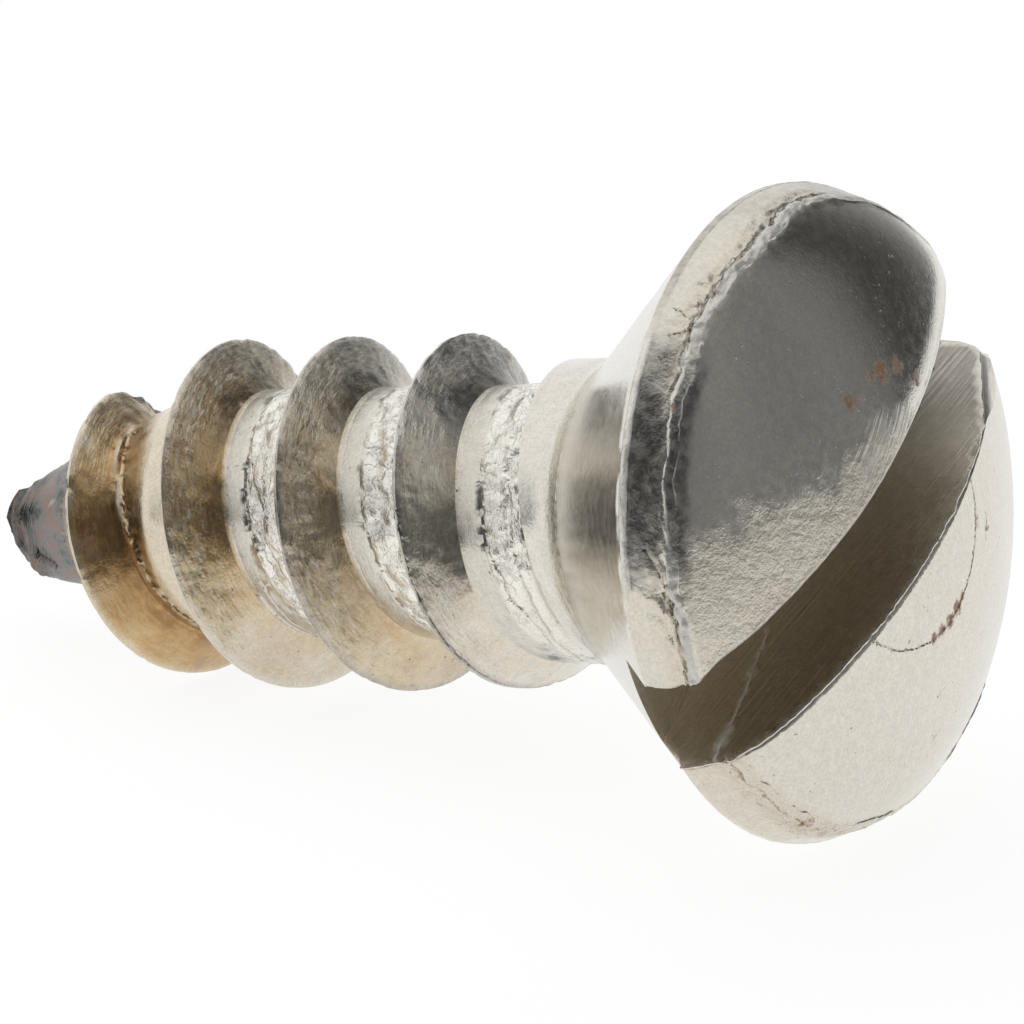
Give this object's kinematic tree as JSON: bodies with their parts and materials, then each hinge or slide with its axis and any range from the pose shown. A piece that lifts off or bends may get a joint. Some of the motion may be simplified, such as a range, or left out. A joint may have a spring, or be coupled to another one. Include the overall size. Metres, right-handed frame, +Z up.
{
  "type": "sheet metal screw",
  "caption": "Short oval head sheet metal screw with an off-centre driver slot, a coarse spaced right hand thread and a blunt broken point, lying at rest.",
  "frame": {"origin": "on the floor, under the middle of the lying screw", "axes": "+Z up; the screw's axis lies in the XZ plane, with the head towards +X and raised by its rim; -Y is the front"},
  "size_m": [0.0108, 0.006, 0.006],
  "materials": {
    "screw": "bright stainless steel, rough where the metal was headed and rolled, with straw and brown heat tint on the turns towards the point, small rust spots on the head and a dark slot"
  },
  "bodies": {
    "root": {"screw": "screw"}
  },
  "joints": []
}
